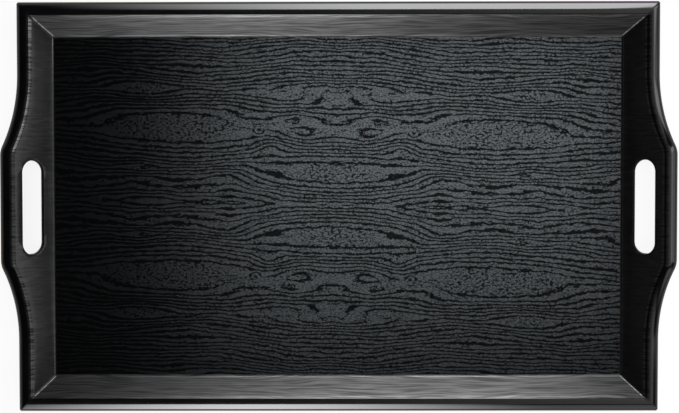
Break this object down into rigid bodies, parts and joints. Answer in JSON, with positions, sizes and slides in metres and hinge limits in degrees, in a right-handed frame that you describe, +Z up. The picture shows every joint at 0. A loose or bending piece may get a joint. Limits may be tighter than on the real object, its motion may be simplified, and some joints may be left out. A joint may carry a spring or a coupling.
{
  "type": "ottoman tray",
  "caption": "Large black wooden serving tray with leaning mitred walls, a round-nosed rim, and end walls that rise in an ogee to a hump with a hand hole.",
  "frame": {"origin": "on the table, under the middle of the tray", "axes": "+X along the tray from the left end wall to the right one, +Y from the front long wall to the back one, +Z up"},
  "size_m": [0.65, 0.4, 0.0525],
  "materials": {
    "painted_board": "smooth black satin lacquer over fibreboard",
    "wall_veneer": "black satin lacquer over open-pore veneer",
    "floor_veneer": "black satin lacquer over book-matched open-pore veneer",
    "backing_veneer": "black matt lacquer over plain veneer",
    "raw_board": "bare fibreboard, hidden",
    "plywood": "bare plywood, hidden",
    "zinced_steel": "zinc-plated spring steel",
    "pad_rubber": "matt non-slip rubber"
  },
  "bodies": {
    "root": {"front_wall_core": "painted_board", "back_wall_core": "painted_board", "left_wall_core": "painted_board", "right_wall_core": "painted_board", "front_wall_inner_veneer": "wall_veneer", "back_wall_inner_veneer": "wall_veneer", "left_wall_inner_veneer": "wall_veneer", "right_wall_inner_veneer": "wall_veneer", "front_wall_outer_veneer": "wall_veneer", "back_wall_outer_veneer": "wall_veneer", "left_wall_outer_veneer": "wall_veneer", "right_wall_outer_veneer": "wall_veneer", "floor_core": "raw_board", "floor_backing": "backing_veneer", "floor_leaf_front_left": "floor_veneer", "floor_leaf_front_right": "floor_veneer", "floor_leaf_back_left": "floor_veneer", "floor_leaf_back_right": "floor_veneer", "corner_spline_front_left": "plywood", "corner_spline_front_right": "plywood", "corner_spline_back_left": "plywood", "corner_spline_back_right": "plywood", "v_nail_front_left_inner": "zinced_steel", "v_nail_front_left_outer": "zinced_steel", "v_nail_front_right_inner": "zinced_steel", "v_nail_front_right_outer": "zinced_steel", "v_nail_back_left_inner": "zinced_steel", "v_nail_back_left_outer": "zinced_steel", "v_nail_back_right_inner": "zinced_steel", "v_nail_back_right_outer": "zinced_steel", "foot_pad_front_left": "pad_rubber", "foot_pad_front_right": "pad_rubber", "foot_pad_back_left": "pad_rubber", "foot_pad_back_right": "pad_rubber"}
  },
  "joints": []
}
